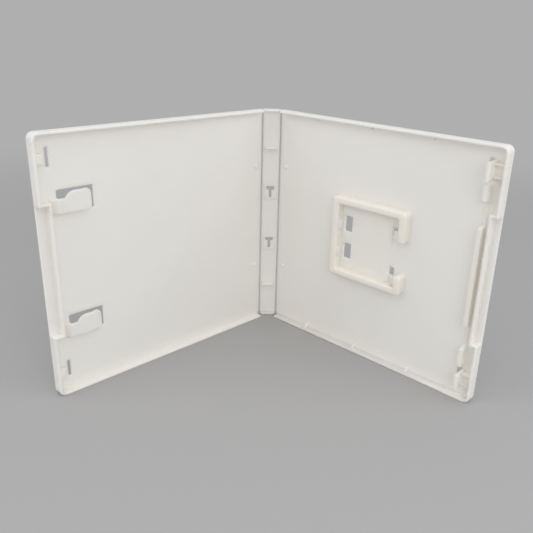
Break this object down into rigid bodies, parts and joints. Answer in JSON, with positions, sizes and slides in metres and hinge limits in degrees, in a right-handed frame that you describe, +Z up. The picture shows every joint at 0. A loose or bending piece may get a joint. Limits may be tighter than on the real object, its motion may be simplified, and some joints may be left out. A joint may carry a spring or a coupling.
{
  "type": "game cartridge case",
  "caption": "Hinged plastic case for a game cartridge: covers on living hinges beside a spine, booklet clips in the front cover, a cartridge tray in the back cover.",
  "frame": {"origin": "middle of the footprint on the surface that the open case stands on", "axes": "+X from the front cover to the back cover, +Y from the open side to the spine, +Z up"},
  "size_m": [0.2018, 0.0964, 0.1245],
  "materials": {
    "case_plastic": "satin"
  },
  "bodies": {
    "spine": {"spine": "case_plastic", "front_hinge_web": "case_plastic", "back_hinge_web": "case_plastic"},
    "front_cover": {"front_cover": "case_plastic"},
    "back_cover": {"back_cover": "case_plastic"}
  },
  "joints": [
    {"name": "front_cover_hinge", "type": "hinge", "parent": "spine", "child": "front_cover", "pos_m": [-0.0055, 0.04801, 0.06225], "axis": [0, 0, 1], "range_deg": [-44.1, 45.9], "deforming": ["front_hinge_web"]},
    {"name": "back_cover_hinge", "type": "hinge", "parent": "spine", "child": "back_cover", "pos_m": [0.0055, 0.04801, 0.06225], "axis": [0, 0, -1], "range_deg": [-44.1, 45.9], "deforming": ["back_hinge_web"]}
  ]
}
